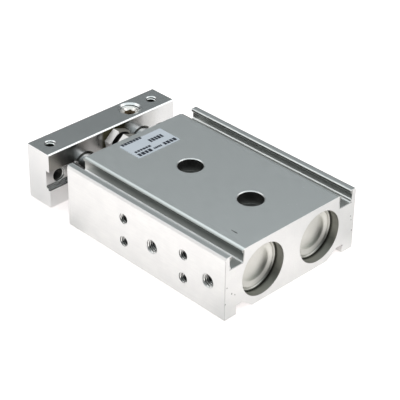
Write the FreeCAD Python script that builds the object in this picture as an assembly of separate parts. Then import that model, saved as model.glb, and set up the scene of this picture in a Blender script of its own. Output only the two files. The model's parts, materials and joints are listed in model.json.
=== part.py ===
"""Twin-rod guided pneumatic cylinder, 20 mm bore, shown with its rods drawn in.

Millimetres. +X is the way the rods push out, +Y is the side with the open air ports, +Z is up.
The origin lies on the underside, midway between the two upright fixing holes.
"""
import FreeCAD, Part
import math
import os

# Main sizes
stroke = 10.0
bore_diameter = 20.0
rod_diameter = 10.0
rod_pitch = 28.0
body_base_length = 70.0        # body length of a cylinder with no stroke
body_width = 64.0
body_height = 25.0

# Upright fixing holes, in a line along the middle of the body
bolt_spacing = 30.0
rear_bolt_distance = 20.0      # rear face to the first hole
bolt_hole_diameter = 5.5
counterbore_diameter = 9.5
counterbore_depth = 5.0
counterbore_chamfer = 0.3
drill_point_angle = 118.0

# Extruded section of the body
fin_thickness = 1.95           # outer wall of a switch slot
fin_edge_width = 0.4           # slope at the top of the outer wall
fin_edge_height = 1.1
fin_inner_edge = 0.3
slot_width = 6.3
slot_depth = 5.2
slot_lip = 0.85                # how far the outer lip reaches over the slot
slot_inner_lip = 0.65
slot_corner = 0.4              # slope between the floor and each wall
slot_lip_height = 0.7          # upright face of the lip
slot_edge_drop = 0.35          # slope from the top face down to the lip
slot_edge_run = 0.75
slot_ledge_height = 1.35
slot_ledge = 0.4
leg_width = 5.4
notch_width = 3.2
notch_depth = 3.5
notch_flank = 4.7              # run of the sloping side of the notch

# Threaded holes in the sides, for fixing
side_thread_diameter = 4.0
side_thread_depth = 6.0
side_thread_spacing = 9.4      # one above the other
side_thread_drop = 0.6         # middle of the pair below the rod axis

# Air ports and the passages from bore to bore
port_diameter = 5.0
port_depth = 4.5
port_chamfer = 0.25
port_drop = 0.45               # port centre below the rod axis
front_port_setback = 3.5       # front port behind the rod cover
air_hole_diameter = 2.0
air_hole_margin = 0.1          # rear air passage in front of the head cover
plug_recess = 0.5
plug_socket = 2.5
plug_socket_depth = 2.2

# Head cover, the domed disc that closes each bore at the rear
cover_recess = 3.6
cover_thickness = 3.5
cover_rim_radius = 9.1         # crest of its raised rim
cover_rim_width = 1.3
cover_dish_depth = 1.0
cover_dome_height = 0.6
cover_edge_step = 0.45
cover_land = 0.6               # metal in front of its sealing groove
cover_groove_width = 1.3
cover_groove_depth = 1.1

# Rod cover, the bearing bush at the front, with its seal
cover_bore_diameter = 21.0
bore_mouth_chamfer = 0.4
rod_cover_groove_width = 1.9
rod_cover_groove_depth = 1.1
rod_seal_diameter = 16.0
rod_seal_length = 3.5
seal_retainer_thickness = 1.8
ring_thickness = 1.0
ring_setback = 1.5             # retaining ring behind the front face
ring_groove_depth = 0.5
ring_width = 1.5
ring_gap_angle = 44.0
ring_lug_radius = 1.5
ring_lug_hole = 1.2

# Piston and what it carries
piston_length = 17.4
piston_play = 0.25             # between the metal of the piston and its bore
piston_bore = 6.0
piston_socket_depth = 3.0      # the rod's shoulder sits in the piston
piston_nut_flats = 10.0
piston_nut_thickness = 3.0
piston_nut_pocket = 12.6
ring_land = 1.5                # metal at each side of a groove
wear_ring_width = 3.0
wear_ring_depth = 1.2
magnet_width = 4.0
magnet_depth = 2.6
piston_seal_width = 3.0
piston_seal_depth = 2.4
end_bumper_thickness = 2.0
end_bumper_width = 2.0
end_bumper_radius = 8.5

# End plate that joins the two rods
plate_gap = 12.0
plate_thickness = 12.0
plate_width = 62.0
plate_height = 22.5
plate_underside = 0.9
plate_edge = 0.45
plate_slot_height = 7.8
plate_slot_depth = 1.9
plate_slot_drop = 0.4          # slot middle below the rod axis
plate_slot_step = 0.7
plate_hole_spacing = 50.0
plate_thread_diameter = 5.0
plate_thread_chamfer = 0.25
plate_top_thread_diameter = 4.0
plate_top_thread_depth = 7.0
plate_top_chamfer = 0.35
clamp_hole_chamfer = 0.7
plate_top_hole_offset = 6.3    # inner face to the holes in the top
rod_socket_depth = 4.0         # how far the first rod enters the plate
rod_end_recess = 1.0           # second rod's end behind the plate's front
rod_edge = 0.5
rod_flat_depth = 0.8

# Screws in the plate
cap_screw_diameter = 5.0
cap_screw_length = 12.0
cap_head_diameter = 8.5
cap_head_height = 5.0
cap_head_recess = 0.4
cap_socket = 4.0
cap_socket_depth = 2.5
set_screw_diameter = 8.0
set_screw_recess = 1.0
set_screw_socket = 4.0
set_screw_socket_depth = 3.0
set_screw_edge = 0.5

# Stroke adjuster between plate and body
adjuster_rise = 4.4            # its axis above the rod axis
adjuster_offset = -1.2         # its axis beside the middle of the plate
adjuster_diameter = 6.0
adjuster_length = 15.0
adjuster_flats = 10.0
adjuster_head_height = 4.0
adjuster_socket = 3.0
adjuster_socket_depth = 4.0
adjuster_travel = 2.0
adjuster_corner_angle = 79.6   # a corner of its hexagons, from level
lock_nut_thickness = 3.35
bumper_diameter = 7.0
bumper_length = 3.2
bumper_pocket = 1.4
hex_chamfer_angle = 30.0

# Label on the top face
label_length = 11.0
label_width = 20.0
label_corner = 0.5
label_thickness = 0.12
label_setback = 3.0

# Clearances, each measured on the radius or along the axis
running_clearance = 0.05       # a shaft that slides or turns in its hole
wear_clearance = 0.08
static_clearance = 0.03        # a turned piece seated in a bore
thread_clearance = 0.03
groove_play = 0.1              # a ring between the sides of its groove
end_gap = 0.3                  # what is left at each end of the stroke
passing_clearance = 0.3        # a fixed piece round a moving one

# Places along X
body_length = body_base_length + stroke
body_rear = -(rear_bolt_distance + bolt_spacing / 2)
body_front = body_rear + body_length
cover_rear = body_rear + cover_recess
cover_front = cover_rear + cover_thickness
piston_rear = cover_front + end_gap + end_bumper_thickness
piston_front = piston_rear + piston_length
rod_cover_rear = piston_front + end_bumper_thickness + stroke + end_gap
ring_front = body_front - ring_setback
ring_rear = ring_front - ring_thickness
rod_cover_front = ring_rear - seal_retainer_thickness
rear_port_x = cover_front + air_hole_margin + air_hole_diameter / 2
front_port_x = rod_cover_rear - front_port_setback
plate_rear = body_front + plate_gap
plate_front = plate_rear + plate_thickness
rod_seat_x = piston_front - piston_socket_depth
nut_pocket_front = piston_rear + piston_nut_thickness + passing_clearance

# Heights and places across
axis_z = body_height / 2
side_y = body_width / 2
rod_y = rod_pitch / 2
port_z = axis_z - port_drop
plate_top = plate_underside + plate_height
plate_axis_z = axis_z - plate_slot_drop
adjuster_z = axis_z + adjuster_rise
slot_outer = side_y - fin_thickness
slot_inner = slot_outer - slot_width
slot_floor = body_height - slot_depth
bore_radius = bore_diameter / 2
rod_radius = rod_diameter / 2
cover_bore_radius = cover_bore_diameter / 2

origin = FreeCAD.Vector(0, 0, 0)
along_x = FreeCAD.Vector(1, 0, 0)
along_y = FreeCAD.Vector(0, 1, 0)
along_z = FreeCAD.Vector(0, 0, 1)
overrun = 1.0                  # how far a cutter runs past the face it starts from
drill_rise = 1 / math.tan(math.radians(drill_point_angle / 2))


def vector(x, y, z):
    return FreeCAD.Vector(x, y, z)


def turned(outline, y=0.0, z=0.0):
    """A solid turned about an axis along X, from (x, radius) points."""
    points = [vector(x, 0, r) for x, r in outline]
    face = Part.Face(Part.makePolygon(points + points[:1]))
    solid = face.revolve(origin, along_x, 360)
    solid.translate(vector(0, y, z))
    return solid


def bar(radius, x_start, x_end, y, z):
    """A round bar along X."""
    return Part.makeCylinder(radius, x_end - x_start, vector(x_start, y, z), along_x)


def hole(mouth, inward, radius, depth, chamfer=0.0, pointed=True):
    """A cutter for a drilled hole, from its mouth inwards."""
    outline = [(-overrun, 0.0), (-overrun, radius + chamfer), (0.0, radius + chamfer)]
    outline += [(chamfer, radius), (depth, radius)]
    outline.append((depth + (radius * drill_rise if pointed else 0.0), 0.0))
    tool = turned([p for i, p in enumerate(outline) if i == 0 or p != outline[i - 1]])
    tool.Placement = FreeCAD.Placement(mouth, FreeCAD.Rotation(along_x, inward))
    return tool


def hexagon(flats, start, axis, length, corner_angle=90.0):
    """A hexagonal bar from start along axis, with a corner at the angle given from level."""
    turn = FreeCAD.Rotation(along_x, axis)
    radius = flats / math.sqrt(3)
    points = []
    for i in range(7):
        angle = math.radians(corner_angle + 60 * i)
        points.append(turn.multVec(vector(0, radius * math.cos(angle), radius * math.sin(angle))) + start)
    return Part.Face(Part.makePolygon(points)).extrude(axis * length)


def plain_ring(x, width, inner, outer, y):
    """A ring round one of the cylinder axes, square in section."""
    return turned([(x, inner), (x, outer), (x + width, outer), (x + width, inner)], y, axis_z)


def body_section():
    """Right half of the extruded section, from the underside round to the top."""
    leg_inner = side_y - leg_width
    ceiling_inner = leg_inner - notch_width
    top = body_height
    lip_top = top - slot_edge_drop
    lip_bottom = lip_top - slot_lip_height
    outer_lip = slot_outer - slot_lip
    inner_lip = slot_inner + slot_inner_lip
    ledge_y = slot_outer - slot_ledge
    ledge_z = slot_floor + slot_ledge_height
    leg = [(ceiling_inner - notch_flank, 0), (ceiling_inner, notch_depth), (leg_inner, notch_depth)]
    leg += [(leg_inner, 0), (side_y, 0)]
    fin = [(side_y, top - fin_edge_height), (side_y - fin_edge_width, top)]
    fin += [(outer_lip + fin_inner_edge, top), (outer_lip, top - fin_inner_edge), (outer_lip, lip_bottom)]
    slot = [(slot_outer, lip_bottom - slot_lip), (slot_outer, ledge_z), (ledge_y, ledge_z - slot_ledge)]
    slot += [(ledge_y, slot_floor + slot_corner), (ledge_y - slot_corner, slot_floor)]
    slot += [(slot_inner + slot_corner, slot_floor)]
    slot += [(slot_inner, slot_floor + slot_corner), (slot_inner, lip_bottom - slot_inner_lip)]
    slab = [(inner_lip, lip_bottom), (inner_lip, lip_top), (slot_inner - slot_edge_run, top)]
    return leg + fin + slot + slab


def bore_cutter(y):
    """Cylinder bore, the wider seat of the rod cover and the retaining-ring groove, in one."""
    groove = cover_bore_radius + ring_groove_depth
    outline = [
        (body_rear - overrun, 0), (body_rear - overrun, bore_radius), (rod_cover_rear, bore_radius),
        (rod_cover_rear, cover_bore_radius), (ring_rear - groove_play, cover_bore_radius),
        (ring_rear - groove_play, groove), (ring_front + groove_play, groove),
        (ring_front + groove_play, cover_bore_radius), (body_front - bore_mouth_chamfer, cover_bore_radius),
        (body_front, cover_bore_radius + bore_mouth_chamfer),
        (body_front + overrun, cover_bore_radius + bore_mouth_chamfer), (body_front + overrun, 0),
    ]
    return turned(outline, y, axis_z)


def bolt_cutters(x):
    """Upright hole right through, with a counterbore for the screw's head at the top."""
    shaft = Part.makeCylinder(bolt_hole_diameter / 2, body_height, vector(x, 0, 0), along_z)
    mouth = vector(x, 0, body_height)
    radius = counterbore_diameter / 2
    return [shaft, hole(mouth, -along_z, radius, counterbore_depth, counterbore_chamfer, pointed=False)]


def side_cutters(side):
    """Fixing threads and air ports in one side of the body."""
    tools = []
    inward = along_y * -side
    pair_z = axis_z - side_thread_drop
    half = side_thread_spacing / 2
    for x in (-bolt_spacing / 2, bolt_spacing / 2):
        for z in (pair_z - half, pair_z + half):
            mouth = vector(x, side * side_y, z)
            tools.append(hole(mouth, inward, side_thread_diameter / 2, side_thread_depth))
    for x in (rear_port_x, front_port_x):
        mouth = vector(x, side * side_y, port_z)
        tools.append(hole(mouth, inward, port_diameter / 2, port_depth, port_chamfer, pointed=False))
    return tools


def housing():
    right = body_section()
    left = [(-y, z) for y, z in reversed(right)]
    points = [vector(body_rear, y, z) for y, z in right + left]
    body = Part.Face(Part.makePolygon(points + points[:1])).extrude(along_x * body_length)
    tools = [bore_cutter(rod_y), bore_cutter(-rod_y)]
    for x in (-bolt_spacing / 2, bolt_spacing / 2):
        tools += bolt_cutters(x)
    tools += side_cutters(1) + side_cutters(-1)
    passage_reach = side_y - port_depth / 2
    for x in (rear_port_x, front_port_x):
        start = vector(x, -passage_reach, port_z)
        tools.append(Part.makeCylinder(air_hole_diameter / 2, 2 * passage_reach, start, along_y))
    return body.cut(tools)


def head_cover(y):
    """Disc with a domed middle and a raised rim, grooved for its sealing ring."""
    outer = bore_radius - static_clearance
    half_rim = cover_rim_width / 2
    dish_x = cover_rear + cover_dish_depth
    valley = cover_rim_radius - half_rim - cover_dish_depth
    groove_x = cover_front - cover_land - cover_groove_width
    floor = outer - cover_groove_depth
    step_x = cover_rear + cover_edge_step
    shoulder_x = cover_rear + half_rim / 2
    dome_radius = (valley ** 2 + cover_dome_height ** 2) / (2 * cover_dome_height)
    middle = valley / 2
    middle_sink = dome_radius - math.sqrt(dome_radius ** 2 - middle ** 2)
    dome_x = dish_x - cover_dome_height
    dome_middle = vector(dome_x + middle_sink, 0, middle)
    dome = Part.Arc(vector(dome_x, 0, 0), dome_middle, vector(dish_x, 0, valley))
    rim_inner = cover_rim_radius - half_rim
    rim_outer = cover_rim_radius + half_rim
    outline = [
        (dish_x, valley), (shoulder_x, rim_inner), (cover_rear, cover_rim_radius - half_rim / 2),
        (cover_rear, cover_rim_radius + half_rim / 2), (shoulder_x, rim_outer),
        (step_x, rim_outer), (step_x, outer), (groove_x, outer), (groove_x, floor),
        (groove_x + cover_groove_width, floor), (groove_x + cover_groove_width, outer),
        (cover_front, outer), (cover_front, 0), (dome_x, 0),
    ]
    rest = Part.makePolygon([vector(x, 0, r) for x, r in outline])
    solid = Part.Face(Part.Wire([dome.toShape()] + rest.Edges)).revolve(origin, along_x, 360)
    solid.translate(vector(0, y, axis_z))
    return solid


def head_cover_seal(y):
    outer = bore_radius - static_clearance
    x = cover_front - cover_land - cover_groove_width + groove_play
    inner = outer - cover_groove_depth + static_clearance
    return plain_ring(x, cover_groove_width - 2 * groove_play, inner, outer, y)


def rod_cover(y):
    """Long bearing bush with a groove for its outer seal and a pocket for the rod seal."""
    outer = cover_bore_radius - static_clearance
    inner = rod_radius + running_clearance
    pocket = rod_seal_diameter / 2
    pocket_x = rod_cover_front - rod_seal_length - groove_play
    groove_x = rod_cover_rear + ring_land
    floor = outer - rod_cover_groove_depth
    outline = [
        (rod_cover_rear, inner), (rod_cover_rear, outer), (groove_x, outer), (groove_x, floor),
        (groove_x + rod_cover_groove_width, floor), (groove_x + rod_cover_groove_width, outer),
        (rod_cover_front, outer), (rod_cover_front, pocket), (pocket_x, pocket), (pocket_x, inner),
    ]
    return turned(outline, y, axis_z)


def rod_cover_seal(y):
    outer = cover_bore_radius - static_clearance
    x = rod_cover_rear + ring_land + groove_play
    inner = outer - rod_cover_groove_depth + static_clearance
    return plain_ring(x, rod_cover_groove_width - 2 * groove_play, inner, outer, y)


def rod_seal(y):
    """Seal between rod and rod cover, against the retainer."""
    outer = rod_seal_diameter / 2 - static_clearance
    inner = rod_radius + running_clearance
    return plain_ring(rod_cover_front - rod_seal_length, rod_seal_length, inner, outer, y)


def seal_retainer(y):
    """Washer that keeps the rod seal in."""
    outer = cover_bore_radius - static_clearance
    return plain_ring(rod_cover_front, seal_retainer_thickness, rod_radius + passing_clearance, outer, y)


def retaining_ring(y):
    """Open spring ring with two eyes for the pliers."""
    outer = cover_bore_radius + ring_groove_depth - static_clearance
    inner = outer - ring_width
    ring = bar(outer, ring_rear, ring_front, 0, 0).cut(bar(inner, ring_rear, ring_front, 0, 0))
    half = math.radians(ring_gap_angle / 2)
    reach = 2 * outer
    gap = [origin, vector(0, reach * math.sin(half), -reach * math.cos(half))]
    gap.append(vector(0, -reach * math.sin(half), -reach * math.cos(half)))
    wedge = Part.Face(Part.makePolygon(gap + gap[:1])).extrude(along_x * ring_thickness)
    wedge.translate(vector(ring_rear, 0, 0))
    ring = ring.cut(wedge)
    eye_radius = outer - ring_lug_radius
    eye_angle = half + math.asin(ring_lug_radius / eye_radius)
    eyes = []
    for side in (1, -1):
        ey = side * eye_radius * math.sin(eye_angle)
        ez = -eye_radius * math.cos(eye_angle)
        ring = ring.fuse(bar(ring_lug_radius, ring_rear, ring_front, ey, ez))
        eyes.append(bar(ring_lug_hole / 2, ring_rear, ring_front, ey, ez))
    ring = ring.cut(eyes).removeSplitter()
    ring.translate(vector(0, y, axis_z))
    return ring


def port_plug(x):
    """Screwed plug with a hexagon socket, in the port that isn't used."""
    radius = port_diameter / 2 - thread_clearance
    length = port_depth - plug_recess
    start = vector(x, -side_y + plug_recess, port_z)
    plug = Part.makeCylinder(radius, length, start, along_y)
    return plug.cut(hexagon(plug_socket, start, along_y, plug_socket_depth))


def label():
    """Thin sticker with round corners, near the front of the top face."""
    corner = vector(body_front - label_setback - label_length, -label_width / 2, body_height)
    sheet = Part.makeBox(label_length, label_width, label_thickness, corner)
    upright = [e for e in sheet.Edges if e.tangentAt(e.FirstParameter).cross(along_z).Length < 0.5]
    return sheet.makeFillet(label_corner, upright)


def piston_grooves():
    """Start, width and depth of the three grooves, from the rear of the piston."""
    wear_x = piston_rear + ring_land
    magnet_x = wear_x + wear_ring_width + ring_land
    seal_x = magnet_x + magnet_width + ring_land
    return {
        "wear": (wear_x, wear_ring_width, wear_ring_depth),
        "magnet": (magnet_x, magnet_width, magnet_depth),
        "seal": (seal_x, piston_seal_width, piston_seal_depth),
    }


def piston(y):
    outer = bore_radius - piston_play
    outline = [(piston_rear, piston_nut_pocket / 2), (piston_rear, outer)]
    for x, width, depth in piston_grooves().values():
        outline += [(x, outer), (x, outer - depth), (x + width, outer - depth), (x + width, outer)]
    outline.append((piston_front, outer))
    socket = rod_radius + static_clearance
    spigot = piston_bore / 2 + static_clearance
    outline += [(piston_front, socket), (rod_seat_x, socket), (rod_seat_x, spigot)]
    outline += [(nut_pocket_front, spigot), (nut_pocket_front, piston_nut_pocket / 2)]
    return turned(outline, y, axis_z)


def piston_ring(kind, clearance, y):
    x, width, depth = piston_grooves()[kind]
    inner = bore_radius - piston_play - depth + static_clearance
    outer = bore_radius - clearance
    return plain_ring(x + groove_play, width - 2 * groove_play, inner, outer, y)


def end_bumper(x, y):
    """Soft ring on an end face of the piston."""
    inner = end_bumper_radius - end_bumper_width
    return plain_ring(x, end_bumper_thickness, inner, end_bumper_radius, y)


def piston_nut(y):
    start = vector(nut_pocket_front - piston_nut_thickness, y, axis_z)
    nut = hexagon(piston_nut_flats, start, along_x, piston_nut_thickness)
    return nut.cut(bar(piston_bore / 2 + thread_clearance, start.x, nut_pocket_front, y, axis_z))


def rod_blank(end_x, y):
    """Chromed rod with a turned-down tail for the piston."""
    tail = piston_bore / 2
    tail_rear = piston_rear
    outline = [
        (tail_rear, 0), (tail_rear, tail - rod_edge), (tail_rear + rod_edge, tail),
        (rod_seat_x, tail), (rod_seat_x, rod_radius), (end_x - rod_edge, rod_radius),
        (end_x, rod_radius - rod_edge), (end_x, 0),
    ]
    return turned(outline, y, axis_z)


def screwed_rod():
    """The rod beside the ports, drawn against the plate by a screw in its end."""
    end_x = plate_rear + rod_socket_depth
    reach = cap_screw_length - (plate_front - cap_head_recess - cap_head_height - end_x) + end_gap
    radius = cap_screw_diameter / 2 + thread_clearance
    return rod_blank(end_x, rod_y).cut(hole(vector(end_x, rod_y, axis_z), -along_x, radius, reach))


def clamped_rod():
    """The other rod, held from above on a flat."""
    end_x = plate_front - rod_end_recess
    width = set_screw_diameter + 2 * running_clearance
    flat_x = plate_rear + plate_top_hole_offset - width / 2
    corner = vector(flat_x, -rod_y - rod_radius, axis_z + rod_radius - rod_flat_depth)
    flat = Part.makeBox(width, rod_diameter, rod_flat_depth + overrun, corner)
    return rod_blank(end_x, -rod_y).cut(flat)


def plate_section():
    """Upright section of the end plate: bevelled inner top edge and the long slot."""
    low = plate_axis_z - plate_slot_height / 2
    high = low + plate_slot_height
    floor = plate_rear + plate_slot_depth
    shelf = plate_rear + plate_slot_depth / 2
    return [
        (plate_rear, plate_underside), (plate_rear, low), (shelf, low), (shelf, low + plate_slot_step),
        (floor, low + plate_slot_step), (floor, high), (plate_rear, high),
        (plate_rear, plate_top - plate_edge), (plate_rear + plate_edge, plate_top),
        (plate_front, plate_top), (plate_front, plate_underside),
    ]


def end_plate():
    points = [vector(x, -plate_width / 2, z) for x, z in plate_section()]
    body = Part.Face(Part.makePolygon(points + points[:1])).extrude(along_y * plate_width)
    tools = []
    top_x = plate_rear + plate_top_hole_offset
    for side in (1, -1):
        y = side * plate_hole_spacing / 2
        inner_mouth = vector(plate_rear + plate_slot_depth, y, plate_axis_z)
        outer_mouth = vector(plate_front, y, plate_axis_z)
        radius = plate_thread_diameter / 2
        through = plate_thickness - plate_slot_depth
        tools.append(hole(inner_mouth, along_x, radius, through, plate_thread_chamfer, pointed=False))
        tools.append(hole(outer_mouth, -along_x, radius, through, plate_thread_chamfer, pointed=False))
        top_mouth = vector(top_x, y, plate_top)
        radius = plate_top_thread_diameter / 2
        tools.append(hole(top_mouth, -along_z, radius, plate_top_thread_depth, plate_top_chamfer))
    socket = rod_radius + static_clearance
    tools.append(bar(socket, plate_rear - overrun, plate_rear + rod_socket_depth, rod_y, axis_z))
    tools.append(bar(cap_screw_diameter / 2 + passing_clearance, plate_rear, plate_front, rod_y, axis_z))
    head_mouth = vector(plate_front, rod_y, axis_z)
    head_depth = cap_head_height + cap_head_recess
    head_radius = cap_head_diameter / 2 + passing_clearance
    tools.append(hole(head_mouth, -along_x, head_radius, head_depth, pointed=False))
    tools.append(bar(socket, plate_rear - overrun, plate_front + overrun, -rod_y, axis_z))
    clamp_mouth = vector(top_x, -rod_y, plate_top)
    radius = set_screw_diameter / 2
    tools.append(hole(clamp_mouth, -along_z, radius, plate_top - axis_z, clamp_hole_chamfer, pointed=False))
    adjuster = adjuster_diameter / 2 + running_clearance
    tools.append(bar(adjuster, plate_rear - overrun, plate_front + overrun, adjuster_offset, adjuster_z))
    return body.cut(tools)


def cap_screw():
    """Socket-head screw through the plate into the rod's end."""
    seat = plate_front - cap_head_recess - cap_head_height
    top = seat + cap_head_height
    head = cap_head_diameter / 2
    shank = cap_screw_diameter / 2
    edge = rod_edge
    end = seat - cap_screw_length
    outline = [
        (end, 0), (end, shank - edge), (end + edge, shank), (seat, shank), (seat, head),
        (top - edge, head), (top, head - edge), (top, 0),
    ]
    screw = turned(outline, rod_y, axis_z)
    return screw.cut(hexagon(cap_socket, vector(top, rod_y, axis_z), -along_x, cap_socket_depth))


def set_screw():
    """Headless screw in the plate's top, standing on the flat of the second rod."""
    x = plate_rear + plate_top_hole_offset
    bottom = axis_z + rod_radius - rod_flat_depth
    top = plate_top - set_screw_recess
    radius = set_screw_diameter / 2 - thread_clearance
    screw = Part.makeCylinder(radius, top - bottom, vector(x, -rod_y, bottom), along_z)
    rims = [e for e in screw.Edges if isinstance(e.Curve, Part.Circle)]
    screw = screw.makeChamfer(set_screw_edge, rims)
    return screw.cut(hexagon(set_screw_socket, vector(x, -rod_y, top), -along_z, set_screw_socket_depth))


def bevelled_hexagon(flats, x_start, x_end):
    """Hexagonal bar along the adjuster's axis, with its corners turned off at its start."""
    start = vector(x_start, adjuster_offset, adjuster_z)
    blank = hexagon(flats, start, along_x, x_end - x_start, adjuster_corner_angle)
    corner = flats / math.sqrt(3) + running_clearance
    face = flats / 2 - running_clearance
    drop = (corner - face) * math.tan(math.radians(hex_chamfer_angle))
    outline = [(x_start, 0), (x_start, face), (x_start + drop, corner), (x_end, corner), (x_end, 0)]
    return blank.common(turned(outline, adjuster_offset, adjuster_z))


def adjuster_places():
    """Along X: the bumper's front and seat, the head's two faces, the shank's end, the nut's face."""
    nut_face = plate_rear - running_clearance - lock_nut_thickness
    head_back = nut_face - end_gap - adjuster_travel
    head_face = head_back - adjuster_head_height
    bumper_seat = head_face + bumper_pocket
    bumper_face = bumper_seat - bumper_length
    end = head_back + adjuster_length
    return bumper_face, bumper_seat, head_face, head_back, end, nut_face


def adjuster_bolt():
    """Hexagon-head stop screw, with a pocket for its bumper and a socket in its free end."""
    bumper_seat, head_face, head_back, end = adjuster_places()[1:5]
    bolt = bevelled_hexagon(adjuster_flats, head_face, head_back)
    shank = adjuster_diameter / 2
    outline = [(head_back, 0), (head_back, shank), (end - rod_edge, shank)]
    outline += [(end, shank - rod_edge), (end, 0)]
    bolt = bolt.fuse(turned(outline, adjuster_offset, adjuster_z)).removeSplitter()
    pocket = bumper_diameter / 2 + running_clearance
    bolt = bolt.cut(bar(pocket, head_face - overrun, bumper_seat, adjuster_offset, adjuster_z))
    socket_mouth = vector(end, adjuster_offset, adjuster_z)
    return bolt.cut(hexagon(adjuster_socket, socket_mouth, -along_x, adjuster_socket_depth))


def adjuster_bumper():
    """Soft tip that meets the body when the rods are in."""
    face, seat = adjuster_places()[:2]
    radius = bumper_diameter / 2
    edge = rod_edge
    outline = [(face, 0), (face, radius - edge), (face + edge, radius), (seat, radius), (seat, 0)]
    return turned(outline, adjuster_offset, adjuster_z)


def lock_nut():
    nut_face = adjuster_places()[-1]
    end = plate_rear - running_clearance
    nut = bevelled_hexagon(adjuster_flats, nut_face, end)
    thread = adjuster_diameter / 2 + running_clearance
    return nut.cut(bar(thread, nut_face, end, adjuster_offset, adjuster_z))


def all_nodes():
    """Every separate piece by name; _a is the side with the open ports, _b the other."""
    nodes = {"housing": housing(), "label": label()}
    for side, y in (("a", rod_y), ("b", -rod_y)):
        nodes["head_cover_" + side] = head_cover(y)
        nodes["head_cover_seal_" + side] = head_cover_seal(y)
        nodes["rod_cover_" + side] = rod_cover(y)
        nodes["rod_cover_seal_" + side] = rod_cover_seal(y)
        nodes["rod_seal_" + side] = rod_seal(y)
        nodes["seal_retainer_" + side] = seal_retainer(y)
        nodes["retaining_ring_" + side] = retaining_ring(y)
        nodes["piston_" + side] = piston(y)
        nodes["wear_ring_" + side] = piston_ring("wear", wear_clearance, y)
        nodes["magnet_" + side] = piston_ring("magnet", piston_play, y)
        nodes["piston_seal_" + side] = piston_ring("seal", wear_clearance, y)
        nodes["rear_bumper_" + side] = end_bumper(piston_rear - end_bumper_thickness, y)
        nodes["front_bumper_" + side] = end_bumper(piston_front, y)
        nodes["piston_nut_" + side] = piston_nut(y)
    nodes["piston_rod_a"] = screwed_rod()
    nodes["piston_rod_b"] = clamped_rod()
    nodes["port_plug_rear"] = port_plug(rear_port_x)
    nodes["port_plug_front"] = port_plug(front_port_x)
    nodes["end_plate"] = end_plate()
    nodes["rod_cap_screw"] = cap_screw()
    nodes["rod_set_screw"] = set_screw()
    nodes["adjuster_bolt"] = adjuster_bolt()
    nodes["adjuster_bumper"] = adjuster_bumper()
    nodes["lock_nut"] = lock_nut()
    return nodes


def main():
    os.makedirs("parts", exist_ok=True)
    for name, shape in all_nodes().items():
        solids = shape.Solids
        if len(solids) != 1 or not solids[0].isValid():
            print("check", name, len(solids), shape.isValid())
        solids[0].exportStep("parts/" + name + ".step")
    print("body front at x =", body_front, "plate front at x =", plate_front)


main()
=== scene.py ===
import json
import math

import bmesh
import bpy
from mathutils import Matrix, Quaternion, Vector


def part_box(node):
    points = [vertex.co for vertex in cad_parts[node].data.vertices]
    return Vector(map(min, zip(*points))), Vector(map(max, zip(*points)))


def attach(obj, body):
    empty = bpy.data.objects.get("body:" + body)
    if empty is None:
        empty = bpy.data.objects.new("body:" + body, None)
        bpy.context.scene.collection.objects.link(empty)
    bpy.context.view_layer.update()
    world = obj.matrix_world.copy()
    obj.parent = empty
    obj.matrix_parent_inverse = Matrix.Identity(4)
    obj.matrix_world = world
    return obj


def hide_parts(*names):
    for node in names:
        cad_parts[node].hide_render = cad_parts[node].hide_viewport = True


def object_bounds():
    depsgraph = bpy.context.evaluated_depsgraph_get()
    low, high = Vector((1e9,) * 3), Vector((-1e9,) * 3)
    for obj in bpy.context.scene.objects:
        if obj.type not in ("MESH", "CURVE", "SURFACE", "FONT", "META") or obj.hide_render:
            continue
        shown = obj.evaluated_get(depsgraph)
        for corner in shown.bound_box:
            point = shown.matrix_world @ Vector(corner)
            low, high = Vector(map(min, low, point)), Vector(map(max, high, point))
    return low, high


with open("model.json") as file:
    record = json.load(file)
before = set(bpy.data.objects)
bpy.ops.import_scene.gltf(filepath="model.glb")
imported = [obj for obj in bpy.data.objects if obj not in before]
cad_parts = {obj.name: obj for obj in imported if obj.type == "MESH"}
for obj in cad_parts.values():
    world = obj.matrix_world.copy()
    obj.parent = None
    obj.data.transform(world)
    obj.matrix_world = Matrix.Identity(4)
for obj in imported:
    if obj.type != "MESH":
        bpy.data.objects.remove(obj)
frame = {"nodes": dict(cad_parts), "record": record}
cadLow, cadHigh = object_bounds()
nodes = frame["nodes"]
scene = bpy.context.scene
mm = 0.001
weld = 1e-7
alongX = Vector((1, 0, 0))
alongY = Vector((0, 1, 0))
alongZ = Vector((0, 0, 1))
print("frame loaded,", len(nodes), "nodes")


# small helpers

def middleOf(name):
    low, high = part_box(name)
    return (low + high) / 2


def newPiece(name, bm, material, body, replaces=()):
    mesh = bpy.data.meshes.new(name)
    bm.to_mesh(mesh)
    bm.free()
    mesh.materials.append(material)
    piece = bpy.data.objects.new(name, mesh)
    scene.collection.objects.link(piece)
    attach(piece, body)
    if replaces:
        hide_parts(*replaces)
    return piece


def smoothBelow(bm, degrees):
    # smooth shading, with a sharp edge wherever two faces meet at more than this angle
    limit = math.radians(degrees)
    for face in bm.faces:
        face.smooth = True
    for edge in bm.edges:
        if len(edge.link_faces) == 2 and edge.calc_face_angle(0) > limit:
            edge.smooth = False


def spunProfile(points, centre, axis, steps):
    # points are (distance along the axis, radius), turned a full circle round it
    bm = bmesh.new()
    side = axis.orthogonal().normalized()
    ring = [bm.verts.new(centre + axis * a + side * r) for a, r in points]
    edges = [bm.edges.new(pair) for pair in zip(ring, ring[1:])]
    bmesh.ops.spin(bm, geom=ring + edges, cent=centre, axis=axis, angle=2 * math.pi, steps=steps,
                   use_merge=True)
    bmesh.ops.remove_doubles(bm, verts=bm.verts, dist=weld)
    bmesh.ops.recalc_face_normals(bm, faces=bm.faces)
    return bm


ridgeShape = {
    "foot": 0.42,  # half widths, as shares of the pitch
    "top": 0.06,
    "bite": 0.04,  # how far it reaches into its wall or core
}


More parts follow.
